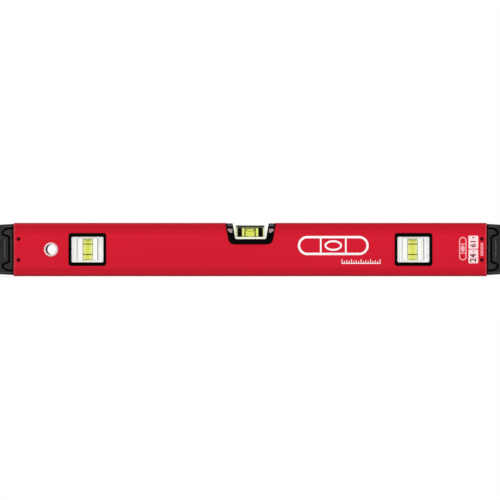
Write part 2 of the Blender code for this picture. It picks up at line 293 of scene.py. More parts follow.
# ------------------------------------------------------------------ material helpers
class Mat:
    """A Principled material with the nodes that vary it."""

    def __init__(self, name):
        self.m = bpy.data.materials.new(name)
        self.m.use_nodes = True
        self.t = self.m.node_tree
        self.b = self.t.nodes["Principled BSDF"]
        self.out = self.t.nodes["Material Output"]
        self.co = self.t.nodes.new("ShaderNodeTexCoord").outputs["Object"]

    def node(self, kind, **props):
        n = self.t.nodes.new(kind)
        for k, val in props.items():
            setattr(n, k, val)
        return n

    def link(self, a, b):
        self.t.links.new(a, b)

    def mapped(self, scale=(1, 1, 1), loc=(0, 0, 0), rot=(0, 0, 0)):
        n = self.node("ShaderNodeMapping")
        n.inputs["Scale"].default_value = scale
        n.inputs["Location"].default_value = loc
        n.inputs["Rotation"].default_value = rot
        self.link(self.co, n.inputs["Vector"])
        return n.outputs["Vector"]

    def noise(self, scale, detail=3.0, rough=0.5, vec=None, dist=0.0):
        n = self.node("ShaderNodeTexNoise")
        n.inputs["Scale"].default_value = scale
        n.inputs["Detail"].default_value = detail
        n.inputs["Roughness"].default_value = rough
        n.inputs["Distortion"].default_value = dist
        self.link(vec if vec is not None else self.co, n.inputs["Vector"])
        return n.outputs["Fac"]

    def remap(self, src, a, b, lo=0.3, hi=0.7):
        n = self.node("ShaderNodeMapRange")
        n.inputs["From Min"].default_value = lo
        n.inputs["From Max"].default_value = hi
        n.inputs["To Min"].default_value = a
        n.inputs["To Max"].default_value = b
        self.link(src, n.inputs["Value"])
        return n.outputs["Result"]

    def math(self, op, a, b):
        n = self.node("ShaderNodeMath", operation=op)
        for i, x in enumerate((a, b)):
            if isinstance(x, (int, float)):
                n.inputs[i].default_value = x
            else:
                self.link(x, n.inputs[i])
        return n.outputs[0]

    def mix(self, fac, a, b, mode="MIX"):
        n = self.node("ShaderNodeMix", data_type="RGBA", blend_type=mode)
        self.link(fac, n.inputs["Factor"])
        for key, x in ((6, a), (7, b)):
            if isinstance(x, tuple):
                n.inputs[key].default_value = (*x, 1.0)
            else:
                self.link(x, n.inputs[key])
        return n.outputs[2]

    def along(self, axis, lo, hi, absolute=True):
        """0 below lo and 1 above hi (mm) along one of the object's own axes; lo > hi turns it round."""
        n = self.node("ShaderNodeSeparateXYZ")
        self.link(self.co, n.inputs[0])
        src = n.outputs[axis]
        if absolute:
            src = self.math("ABSOLUTE", src, 0.0)
        m = self.node("ShaderNodeMapRange", interpolation_type="SMOOTHSTEP")
        m.inputs["From Min"].default_value = min(lo, hi) * MM
        m.inputs["From Max"].default_value = max(lo, hi) * MM
        m.inputs["To Min"].default_value = 0.0 if lo < hi else 1.0
        m.inputs["To Max"].default_value = 1.0 if lo < hi else 0.0
        self.link(src, m.inputs["Value"])
        return m.outputs["Result"]

    def colour(self, src):
        self.link(src, self.b.inputs["Base Color"])

    def rough(self, src):
        self.link(src, self.b.inputs["Roughness"])

    def bump(self, *layers):
        """Each layer is (height socket, strength, distance in mm)."""
        prev = None
        for src, strength, dist in layers:
            n = self.node("ShaderNodeBump")
            n.inputs["Strength"].default_value = strength
            n.inputs["Distance"].default_value = dist * MM
            self.link(src, n.inputs["Height"])
            if prev is not None:
                self.link(prev, n.inputs["Normal"])
            prev = n.outputs["Normal"]
        self.link(prev, self.b.inputs["Normal"])

    def set(self, **kw):
        for k, val in kw.items():
            self.b.inputs[k.replace("_", " ")].default_value = val


def scaled(c, k):
    return tuple(min(1.0, x * k) for x in c)


def paint_material():
    """Red powder coat on an extrusion: orange peel, faint die lines along the beam, a few hair scratches."""
    m = Mat("red_powder_coat")
    base = (0.60, 0.0068, 0.0235)
    big = m.noise(14, 4)
    peel = m.noise(1500, 2, 0.4)
    lines = m.noise(60, 3, 0.6, m.mapped(scale=(0.12, 14, 14)))
    fine = m.noise(5200, 1)
    scratch = m.noise(240, 2, 0.5, m.mapped(scale=(0.5, 6, 6), rot=(0.2, 0.5, 0.3)), 0.6)
    col = m.mix(m.remap(big, 0, 1), scaled(base, 0.965), scaled(base, 1.03))
    col = m.mix(m.remap(fine, 0.0, 0.06, 0.5, 0.8), col, (0.66, 0.03, 0.045))
    # painted shade on the flanges, darker at the top than at the bottom; at the sawn ends, bare, scuffed paint that
    # also carries a painted highlight
    flange_shade = m.math("MULTIPLY", m.along("Z", 50.5, 57.0, False), m.remap(big, 0.9, 1.0))
    col = m.mix(flange_shade, col, scaled(base, 0.84))
    flange_shade = m.math("MULTIPLY", m.along("Z", 14.0, 8.5, False), m.remap(big, 0.9, 1.0))
    col = m.mix(flange_shade, col, scaled(base, 0.90))
    # painted shade on the rounded top and bottom edges of the faces
    edge = m.math("MAXIMUM", m.along("Z", 61.6, 63.4, False), m.along("Z", 3.0, 1.2, False))
    edge = m.math("MULTIPLY", edge, m.along("Y", 12.3, 13.6))
    col = m.mix(m.math("MULTIPLY", edge, 0.9), col, scaled(base, 0.62))
    # paler, scuffed paint at the very end, which also stands in for a painted highlight on the sawn edge
    end_scuff_and_highlight = m.math("MULTIPLY", m.along("X", TUBE_X - 1.5, TUBE_X - 0.7), m.remap(m.noise(620, 5, 0.75), 0.35, 1.0, 0.42, 0.54))
    col = m.mix(end_scuff_and_highlight, col, (0.62, 0.085, 0.105))
    dull = m.math("MULTIPLY", m.along("X", TUBE_X - 3.0, TUBE_X - 1.2), m.remap(m.noise(520, 5, 0.75), 0.25, 1.0, 0.42, 0.54))
    col = m.mix(dull, col, (0.46, 0.033, 0.043))
    m.colour(col)
    r = m.remap(lines, 0.36, 0.44)
    r = m.math("ADD", r, m.remap(scratch, 0.0, 0.1, 0.64, 0.72))
    m.rough(m.math("ADD", r, m.remap(peel, -0.02, 0.02)))
    m.bump((peel, 0.16, 0.05), (lines, 0.10, 0.03), (fine, 0.05, 0.01))
    m.set(Specular_IOR_Level=0.35)
    return m.m


def plastic_material(name, base, rough, grain=1900, depth=0.04, strength=0.25, spec=0.5, vary=0.12, dust=None):
    m = Mat(name)
    a = m.noise(38, 4)
    g = m.noise(grain, 3, 0.6)
    col = m.mix(m.remap(a, 0, 1), scaled(base, 1 - vary), scaled(base, 1 + vary))
    if dust:
        col = m.mix(m.remap(m.noise(160, 5, 0.7), 0.0, dust[1], 0.52, 0.8), col, dust[0])
    m.colour(col)
    m.rough(m.math("ADD", m.remap(a, rough - 0.04, rough + 0.04), m.remap(g, -0.03, 0.03)))
    m.bump((g, strength, depth), (a, 0.05, 0.1))
    m.set(Specular_IOR_Level=spec)
    return m.m


def cap_material(name, base, rough, grain, depth, strength, scuff_and_highlight):
    """Moulded end cap: grained, with painted shade, black, in the depth of its seam and next to the beam's end, and a
    painted highlight on its raised ridge and beads, which also reads as rubbing.
    """
    m = Mat(name)
    a = m.noise(38, 4)
    g = m.noise(grain, 3, 0.6)
    col = m.mix(m.remap(a, 0, 1), scaled(base, 0.86), scaled(base, 1.14))
    col = m.mix(m.remap(m.noise(190, 5, 0.7), 0.0, 0.25, 0.5, 0.8), col, scuff_and_highlight)
    # painted highlight, in the scuff colour, on the raised ridge and beads, which also reads as rubbing
    ridge_highlight = m.math("MULTIPLY", m.along("Y", 14.22, 14.55), m.remap(m.noise(260, 4, 0.7), 0.55, 1.0, 0.35, 0.6))
    col = m.mix(ridge_highlight, col, scuff_and_highlight)
    # painted shade: black on faces sunk below 12.9 mm, away from the end face and the top and bottom, and on the part
    # within 1.4 mm of the beam's end
    recess_shade = m.math("MULTIPLY", m.along("Y", 13.4, 12.9), m.along("X", TUBE_X + 15.9, TUBE_X + 15.3))
    recess_shade = m.math("MULTIPLY", recess_shade, m.along("Z", 3.2, 4.2, False))
    recess_shade = m.math("MULTIPLY", recess_shade, m.along("Z", 61.4, 60.4, False))
    gap_shade = m.along("X", TUBE_X + 1.62, TUBE_X + 1.42)
    recess_shade = m.math("MAXIMUM", recess_shade, gap_shade)
    col = m.mix(recess_shade, col, (0.0012, 0.0011, 0.0011))
    m.colour(col)
    m.rough(m.math("ADD", m.remap(a, rough - 0.04, rough + 0.04), m.remap(g, -0.03, 0.03)))
    m.bump((g, strength, depth), (a, 0.05, 0.1))
    m.set(Specular_IOR_Level=0.4)
    return m.m


def metal_material():
    """Bright turned aluminium: rings round the hole's own axis."""
    m = Mat("bright_aluminium")
    lo, hi = node_box("hang_hole_rim_front")
    cx, cz = (lo.x + hi.x) / 2 * MM, (lo.z + hi.z) / 2 * MM
    w = m.node("ShaderNodeTexWave", wave_type="RINGS", rings_direction="Y", wave_profile="SIN")
    w.inputs["Scale"].default_value = 520
    w.inputs["Distortion"].default_value = 0.6
    w.inputs["Detail"].default_value = 2
    m.link(m.mapped(loc=(-cx, 0, -cz)), w.inputs["Vector"])
    n = m.noise(700, 3)
    col = m.mix(m.remap(n, 0, 1), (0.91, 0.675, 0.70), (0.97, 0.755, 0.78))
    m.colour(col)
    m.rough(m.math("ADD", m.remap(w.outputs["Fac"], 0.24, 0.34, 0, 1), m.remap(n, -0.03, 0.05)))
    m.bump((w.outputs["Fac"], 0.12, 0.02))
    m.set(Metallic=0.25)
    return m.m


def plumb_thin(m):
    """0 on the axis of an upright vial and 1 at its sides, where the liquid is thin."""
    n = m.node("ShaderNodeSeparateXYZ")
    m.link(m.co, n.inputs[0])
    off = m.math("SUBTRACT", m.math("ABSOLUTE", n.outputs["X"], 0.0), abs(PLUMB["left"]) * MM)
    return m.remap(m.math("ABSOLUTE", off, 0.0), 0, 1, 1.2 * MM, 5.4 * MM)


def level_thin(m):
    """The same for the level vial, whose liquid also looks paler outside the reading rings."""
    n = m.node("ShaderNodeSeparateXYZ")
    m.link(m.co, n.inputs[0])
    off = m.math("ABSOLUTE", m.math("SUBTRACT", n.outputs["Z"], CV_Z * MM), 0.0)
    ends = m.remap(m.math("ABSOLUTE", n.outputs["X"], 0.0), 0, 0.4, 6.6 * MM, 7.6 * MM)
    return m.math("MAXIMUM", m.remap(off, 0, 1, 3.0 * MM, 6.0 * MM), ends)


def clear_material(name, tint_a, tint_b, ior, shadow, rough=(0.0, 0.02), scale=60, wave=0.0, thin=None, pale=None):
    """Something clear. Lamps shine through it, so that what is inside is lit."""
    m = Mat(name)
    n = m.noise(scale, 3)
    col = m.mix(m.remap(n, 0, 1), tint_a, tint_b)
    if thin:
        col = m.mix(thin(m), col, pale)
    m.colour(col)
    m.rough(m.remap(n, rough[0], rough[1]))
    if wave:
        m.bump((m.noise(220, 2), wave, 0.05))
    m.set(IOR=ior, Transmission_Weight=1.0)
    tr = m.node("ShaderNodeBsdfTransparent")
    tr.inputs["Color"].default_value = (*shadow, 1.0)
    lp = m.node("ShaderNodeLightPath")
    mx = m.node("ShaderNodeMixShader")
    m.link(lp.outputs["Is Shadow Ray"], mx.inputs["Fac"])
    m.link(m.b.outputs["BSDF"], mx.inputs[1])
    m.link(tr.outputs["BSDF"], mx.inputs[2])
    m.link(mx.outputs["Shader"], m.out.inputs["Surface"])
    return m.m


PAINT = paint_material()
RUBBER = cap_material("bumper_rubber", (0.021, 0.0208, 0.0205), 0.62, 1500, 0.09, 0.5, (0.078, 0.080, 0.077))
CAP = cap_material("cap_plastic", (0.025, 0.0235, 0.024), 0.52, 2200, 0.06, 0.4, (0.115, 0.098, 0.098))
BLACK = plastic_material("black_moulding", (0.0012, 0.0011, 0.0011), 0.42, 2400, 0.04, 0.3, 0.25, 0.2)
# painted reflection: the light that the sloping scoop floors catch, painted as a pale grey pad
GREY = plastic_material("scoop_painted_reflection", (0.33, 0.24, 0.25), 0.5, 2400, 0.04, 0.3, 0.5, 0.1)
def white_material(name, glow):
    """White moulding, tinted with painted yellow light where it stands next to the coloured liquid."""
    m = Mat(name)
    a = m.noise(38, 4)
    g = m.noise(1400, 3, 0.6)
    col = m.mix(m.remap(a, 0, 1), (0.905, 0.91, 0.90), (0.945, 0.95, 0.94))
    # painted light: ivory where light comes through the liquid, below 59 mm on the level vial's cradle and within
    # about 6 to 9 mm of an upright vial's axis
    if glow == "centre":
        near = m.along("Z", 61.5, 59.0, False)
        col = m.mix(near, col, (0.91, 0.91, 0.74))
    else:
        n = m.node("ShaderNodeSeparateXYZ")
        m.link(m.co, n.inputs[0])
        off = m.math("ABSOLUTE", m.math("SUBTRACT", m.math("ABSOLUTE", n.outputs["X"], 0.0), abs(PLUMB["left"]) * MM), 0.0)
        col = m.mix(m.remap(off, 1, 0, 5.5 * MM, 9.5 * MM), col, (0.93, 0.93, 0.78))
    col = m.mix(m.remap(m.noise(240, 5, 0.7), 0.0, 0.12, 0.55, 0.8), col, (0.62, 0.60, 0.54))
    m.colour(col)
    m.rough(m.math("ADD", m.remap(a, 0.30, 0.38), m.remap(g, -0.03, 0.03)))
    m.bump((g, 0.15, 0.03), (a, 0.05, 0.1))
    return m.m


def stud_material():
    """Black latch plate, dark red where it shows in the round holes of the beam: painted red light from the painted
    walls of the holes.
    """
    m = Mat("latch_plate")
    a = m.noise(38, 4)
    g = m.noise(2400, 3, 0.6)
    col = m.mix(m.remap(a, 0, 1), (0.016, 0.0155, 0.0155), (0.022, 0.021, 0.021))
    n = m.node("ShaderNodeSeparateXYZ")
    m.link(m.co, n.inputs[0])
    # painted red light in a round patch behind each hole
    dx = m.math("SUBTRACT", m.math("ABSOLUTE", n.outputs["X"], 0.0), (TUBE_X - 5.9) * MM)
    dz = m.math("SUBTRACT", m.math("ABSOLUTE", m.math("SUBTRACT", n.outputs["Z"], MID_Z * MM), 0.0), 12.7 * MM)
    d = m.math("SQRT", m.math("ADD", m.math("MULTIPLY", dx, dx), m.math("MULTIPLY", dz, dz)), 0.0)
    d = m.math("ADD", d, m.remap(m.noise(900, 3), -0.0003, 0.0003))
    col = m.mix(m.remap(d, 1.0, 0.0, 0.0024, 0.0031), col, (0.060, 0.0016, 0.0026))
    m.colour(col)
    m.rough(m.math("ADD", m.remap(a, 0.46, 0.54), m.remap(g, -0.03, 0.03)))
    m.bump((g, 0.3, 0.04))
    m.set(Specular_IOR_Level=0.25)
    return m.m


STUD = stud_material()
# painted highlight on the sloping thumb rests at the top of the wings
DUSK = plastic_material("thumb_rest_painted_highlight", (0.060, 0.052, 0.068), 0.5, 2400, 0.05, 0.35, 0.4, 0.25)
WHITE = white_material("white_moulding", "plumb")
CRADLE = white_material("cradle_moulding", "centre")
SLEEVE = plastic_material("hang_hole_liner", (0.05, 0.053, 0.046), 0.5, 1800, 0.04, 0.3, 0.4, 0.12)
METAL = metal_material()
ACRYLIC = clear_material("clear_acrylic", (0.982, 0.984, 0.945), (0.992, 0.994, 0.965), 1.49, (0.97, 0.98, 0.97), (0.0, 0.015))
FLUID = clear_material("vial_liquid", (0.715, 0.765, 0.095), (0.77, 0.82, 0.145), 0.955, (0.80, 0.85, 0.22), (0.0, 0.01), thin=level_thin, pale=(0.86, 0.90, 0.40))
FLUID_P = clear_material("plumb_vial_liquid", (0.715, 0.755, 0.105), (0.76, 0.80, 0.14), 0.90, (0.80, 0.85, 0.26), (0.0, 0.01), thin=plumb_thin, pale=(0.865, 0.90, 0.34))
BUBBLE_P = clear_material("plumb_air", (0.97, 0.98, 0.93), (0.99, 0.99, 0.97), 0.92, (0.99, 0.99, 0.95), (0.0, 0.01))
BUBBLE = clear_material("air_bubble", (0.97, 0.98, 0.95), (0.99, 0.99, 0.98), 0.90, (0.99, 0.99, 0.95), (0.0, 0.01))
PLUG = clear_material("bonded_plug", (0.88, 0.90, 0.60), (0.93, 0.95, 0.70), 1.02, (0.88, 0.88, 0.66), (0.2, 0.35))
RINGS = plastic_material("reading_ring_ink", (0.052, 0.054, 0.001), 0.5, 2600, 0.02, 0.2, 0.08, 0.15)
BANDS = plastic_material("vial_end_bands", (0.0010, 0.0009, 0.0003), 0.6, 2600, 0.02, 0.2, 0.04, 0.15)
DARK_STRIP = plastic_material("dark_top_strip", (0.034, 0.038, 0.024), 0.4, 2600, 0.02, 0.2, 0.4, 0.15)
TAG = plastic_material("tag_panel", (0.92, 0.665, 0.67), 0.42, 2600, 0.015, 0.2, 0.5, 0.03)
INK = plastic_material("white_print", (0.90, 0.86, 0.86), 0.42, 2600, 0.015, 0.2, 0.5, 0.03)
PINK = plastic_material("thin_white_print", (0.90, 0.36, 0.40), 0.42, 2600, 0.015, 0.2, 0.5, 0.05)
TAGINK = plastic_material("tag_numerals", (0.16, 0.03, 0.04), 0.42, 2600, 0.015, 0.2, 0.5, 0.1)

# ------------------------------------------------------------------ beam
quarter = []
for k in range(0, 10):
    a = math.radians(90 * k / 9)
    quarter.append((12.5 + 2.49 * math.sin(a), 4.45 * (1 - math.cos(a))))
quarter += [(14.8, 4.72), (14.2, 5.0), (13.96, 5.45), (13.96, 6.35), (14.15, 6.75), (14.38, 6.98), (14.44, 7.4)]
for k in range(0, 9):
    s = k / 8
    z = 9.2 + (14.6 - 9.2) * s
    quarter.append((WEB_Y + 0.94 * (1 - s * s * (3 - 2 * s)), z))
side = quarter + [(y, TUBE_H - z) for y, z in reversed(quarter)]
outer = side + [(-y, z) for y, z in reversed(side)]


def shrink(points, d):
    return [
        (y - math.copysign(d, y), min(max(z, d), TUBE_H - d)) for y, z in points
    ]


loops = []
for x, d in ((-TUBE_X, 0.5), (-TUBE_X + 0.15, 0.2), (-TUBE_X + 0.45, 0.0), (TUBE_X - 0.45, 0.0), (TUBE_X - 0.15, 0.2), (TUBE_X, 0.5)):
    loops.append([(x, y, z) for y, z in shrink(outer, d)])
beam = raw("beam", loft(loops))
WALL_Y, FLOOR, c = 11.3, 2.8, 2.0
hollow = [
    (WALL_Y - c, FLOOR),
    (WALL_Y, FLOOR + c),
    (WALL_Y, TUBE_H - FLOOR - c),
    (WALL_Y - c, TUBE_H - FLOOR),
    (-WALL_Y + c, TUBE_H - FLOOR),
    (-WALL_Y, TUBE_H - FLOOR - c),
    (-WALL_Y, FLOOR + c),
    (-WALL_Y + c, FLOOR),
]
SIDE = (30.7 - 27.1) / (TUBE_H - 44.5)


def housing_outline(d, top, fine=True):
    raw_pts = [(27.2 + SIDE * (90.0 - 44.6), 90.0), (27.42, 45.9)]
    for k in range(1, 9):
        a = math.radians(6 + 84 * k / 9)
        raw_pts.append((19.6 + 7.5 * math.cos(a), 45.4 - 6.8 * math.sin(a)))
    raw_pts.append((19.2, 38.6))
    raw_pts = raw_pts + [(-x, z) for x, z in reversed(raw_pts)]
    pts = offset(raw_pts, d)
    a, b = pts[0], pts[1]
    x = a[0] + (b[0] - a[0]) * (top - a[1]) / (b[1] - a[1])
    pts[0] = (x, top)
    pts[-1] = (-x, top)
    return [(px + XC, pz) for px, pz in pts]


WIN_W, WIN_H, WIN_R = 21.5, 18.6, 2.4
cuts = [prism(hollow, -TUBE_X * 2, TUBE_X * 2, "X")]
for s in ("left", "right"):
    cuts.append(prism(rrect(PLUMB[s] + FX[s], MID_Z, WIN_W, WIN_H, WIN_R, 4), -20, 20, "Y"))
cuts.append(revolve([(0, -20), (7.7, -20), (7.7, 20), (0, 20)], "Y", (HANG_X, 0, MID_Z), 48))
cuts.append(prism(housing_outline(-1.2, 80.0), -20, 20, "Y"))
for sy in (-1, 1):
    a, b = sorted((sy * 12.9, sy * 20.0))
    cuts.append(prism(housing_outline(0.25, 80.0), a, b, "Y"))
LATCH_X, LATCH_Z, LATCH_R = 5.9, (45.1, 19.7), 2.25
for sx in (-1, 1):
    for z in LATCH_Z:
        prof = [(0, -20), (2.6, -20), (2.6, -WEB_Y - 0.05), (LATCH_R, -WEB_Y + 0.4), (LATCH_R, WEB_Y - 0.4), (2.6, WEB_Y + 0.05), (2.6, 20), (0, 20)]
        cuts.append(revolve(prof, "Y", (sx * (TUBE_X - LATCH_X), 0, z), 28))
cut(beam, cuts)
finish_piece(beam, PAINT, ROOT, ("frame_tube",), "red_paint", smooth=28)

# ------------------------------------------------------------------ end caps
groove = [
    (0.3, 6.9),
    (6.3, 6.9),
    (10.0, 8.1),
    (12.6, 10.4),
    (13.6, 12.6),
    (12.9, 14.6),
    (6.6, 16.6),
    (5.2, 18.6),
    (5.2, 46.4),
    (6.6, 48.6),
    (12.9, 50.6),
    (13.6, 52.6),
    (12.2, 55.0),
    (8.7, 57.7),
    (6.3, 58.1),
    (0.3, 58.1),
]
cap_outer = [
    (0.3, 1.25),
    (15.9, 2.1),
    (16.9, 2.6),
    (17.3, 3.6),
    (17.3, 61.1),
    (16.9, 62.1),
    (15.9, 62.6),
    (0.3, 63.5),
]


def cap_shape(pts, sgn, d=0.0, start=None, smooth=False):
    pts = offset(pts, d) if d else list(pts)
    if start is not None:
        pts[0] = (start, pts[0][1])
        pts[-1] = (start, pts[-1][1])
    if smooth:
        radii = [0] + [3.0] * (len(pts) - 2) + [0]
        pts = rounded(pts, radii, 4)
    return [(sgn * (TUBE_X + px), pz) for px, pz in pts]


def slab(d0, d1, y0, y1, z0, z1, sgn):
    x0, x1 = sorted((sgn * (TUBE_X + d0), sgn * (TUBE_X + d1)))
    ya, yb = sorted((y0, y1))
    return box(x0, x1, ya, yb, z0, z1)


for sgn, s in ((-1, "left"), (1, "right")):
    body = s + "_end_cap"
    bump = raw(f"{s}_cap_bumper_pad", prism(cap_shape(cap_outer, sgn), -14.2, 14.2, "Y"))
    # raised ridge on each face of the pad, pale from a painted highlight in the rubber's material
    joins = []
    for sy in (-1, 1):
        rows = []
        for k in range(17):
            t = -1 + 2 * k / 16
            z = 33.0 + 13.4 * t
            d = 10.9 - 0.9 * t * t
            w = 1.05 * (1 - 0.75 * abs(t) ** 5)
            h = 0.62 * (1 - t**8)
            rows.append([(sgn * (TUBE_X + d + u * w), sy * y, z) for u, y in ((-1, 13.6), (-1, 14.2), (-0.55, 14.2 + 0.8 * h), (0, 14.2 + h), (0.55, 14.2 + 0.8 * h), (1, 14.2), (1, 13.6))])
        joins.append(loft(rows))
        # a fine bead along the top and the bottom of the face
        for z, far in ((60.4, 13.4), (4.35, 16.4)):
            x0, x1 = sorted((sgn * (TUBE_X + 2.4), sgn * (TUBE_X + far)))
            joins.append(prism([(sy * 13.8, z - 0.8), (sy * 14.5, z - 0.35), (sy * 14.5, z + 0.35), (sy * 13.8, z + 0.8)], x0, x1, "X"))
    cut(bump, joins, "UNION")
    cuts = [prism(cap_shape(groove, sgn, -1.7, -2.0, True), -9.8, 9.8, "Y")]
    for sy in (-1, 1):
        a, b = sorted((sy * 9.3, sy * 20.0))
        cuts.append(prism(cap_shape(groove, sgn, 1.25, -2.0, True), a, b, "Y"))
        # a bow-shaped channel outside the ridge on the pad
        bow = [(14.1 - 0.9 * t * t, 33.0 + 13.6 * t) for t in [-1 + k / 6 for k in range(13)]]
        back = [(d - 1.35 + 0.6 * abs((z - 33.0) / 13.6) ** 3, z) for d, z in reversed(bow)]
        a, b = sorted((sy * 13.5, sy * 20.0))
        cuts.append(prism([(sgn * (TUBE_X + d), z) for d, z in bow + back], a, b, "Y"))
        # a finer one on the groove side of it
        bow = [(8.8 - 0.7 * t * t, 33.0 + 12.6 * t) for t in [-1 + k / 6 for k in range(13)]]
        back = [(d - 0.8, z) for d, z in reversed(bow)]
        a, b = sorted((sy * 13.6, sy * 20.0))
        cuts.append(prism([(sgn * (TUBE_X + d), z) for d, z in bow + back], a, b, "Y"))
        # shadow gap against the sawn end of the beam
        cuts.append(merge(slab(-1.0, 1.5, sy * 12.2, sy * 20.0, -1.0, 66.0, sgn)))
    cuts.append(merge(slab(-1.0, 1.5, -20.0, 20.0, 61.9, 66.0, sgn)))
    cuts.append(merge(slab(-1.0, 1.5, -20.0, 20.0, -1.0, 2.7, sgn)))
    # ribs across the end face, and a shallow channel along the top and bottom
    ribs = [slab(16.6, 19.0, -10.6, 10.6, z - 0.7, z + 0.7, sgn) for z in [8.4 + 4.8 * k for k in range(11)]]
    cuts.append(merge(*ribs))
    for z0, z1 in ((0.0, 2.55), (62.15, 66.0)):
        cuts.append(merge(*[slab(d, d + 0.9, -11.0, 11.0, z0, z1, sgn) for d in (4.0, 7.4, 10.8)]))
    cut(bump, cuts)
    finish_piece(bump, RUBBER, body, (s + "_end_cap_bumper",), "bumper_rubber", bevel=0.4, seg=3, angle=50)

    core = raw(f"{s}_cap_core_moulding", prism(cap_shape(groove, sgn, -1.25, 0.3, True), -13.6, 13.6, "Y"))
    # the pad's inner lip runs in a channel round the core
    ring = prism(cap_shape(groove, sgn, 3.0, -6.0), -10.1, 10.1, "Y")
    keep = raw("keep", ring)
    cut(keep, [prism(cap_shape(groove, sgn, -2.0, -8.0, True), -20, 20, "Y")])
    lip = bmesh.new()
    lip.from_mesh(keep.data)
    bpy.data.objects.remove(keep, do_unlink=True)
    cut(core, [lip])
    x0, x1 = sorted((sgn * (TUBE_X - 17.0), sgn * (TUBE_X + 2.0)))
    cut(core, [box(x0, x1, -8.2, 8.2, 8.9, 56.1)], "UNION")
    for sy in (-1, 1):
        cut(core, [merge(*[slab(1.9, 3.9, sy * 13.0, sy * 14.55, 19.4 + 2.4 * k, 20.4 + 2.4 * k, sgn) for k in range(11)])], "UNION")
    cuts = []
    for sy in (-1, 1):
        ribs = [slab(1.7, 4.0, sy * 12.0, sy * 20.0, 18.0 + 2.4 * k, 19.2 + 2.4 * k, sgn) for k in range(12)]
        cuts.append(merge(*ribs))
        cuts.append(merge(slab(-1.0, 1.5, sy * 12.2, sy * 20.0, -1.0, 66.0, sgn)))
        # a finger recess in each lobe
        for z0, z1 in ((9.9, 13.0), (52.0, 55.1)):
            pts = rounded([(4.2, z0), (10.4, z0), (10.4, z1), (4.2, z1)], 1.5, 4)
            pts = [(sgn * (TUBE_X + px), pz) for px, pz in pts]
            a, b = sorted((sy * 13.42, sy * 20.0))
            cuts.append(prism(pts, a, b, "Y"))
    cut(core, cuts)
    finish_piece(core, CAP, body, (s + "_end_cap_core",), "cap_plastic", bevel=0.25, seg=2, angle=50)
    for face in ("front", "rear"):
        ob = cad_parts[f"{s}_cap_latch_{face}"]
        ob.data.materials.clear()
        ob.data.materials.append(STUD)
        md = ob.modifiers.new("edge", "BEVEL")
        md.width = 0.25 * MM
        md.segments = 2
        md.limit_method = "ANGLE"
        md.angle_limit = math.radians(50)

# ------------------------------------------------------------------ hang hole
for sy, face in ((-1, "front"), (1, "rear")):
    section = [(6.3, 13.7)]
    for k in range(0, 7):
        a = math.pi - math.pi * k / 6 * 0.5
        section.append((7.2 + 0.9 * math.cos(a), 13.8 + 0.9 * math.sin(a)))
    section += [(7.6, 14.7), (8.1, 14.62), (8.45, 14.35), (8.6, 14.0), (8.6, 13.62), (7.4, 13.62), (7.4, 11.3), (6.3, 11.3)]
    piece(
        f"hang_hole_grommet_{face}",
        revolve([(r, sy * t) for r, t in section], "Y", (HANG_X, 0, MID_Z), 72, True),
        METAL,
        nodes=(f"hang_hole_rim_{face}",),
        slot="bright_metal",
    )
section = [(6.45, -11.1), (6.4, -10.8), (6.4, 10.8), (6.45, 11.1), (7.4, 11.1), (7.4, -11.1)]
piece("hang_hole_liner", revolve(section, "Y", (HANG_X, 0, MID_Z), 72, True), SLEEVE, nodes=("hang_hole_sleeve",), slot="cap_plastic")

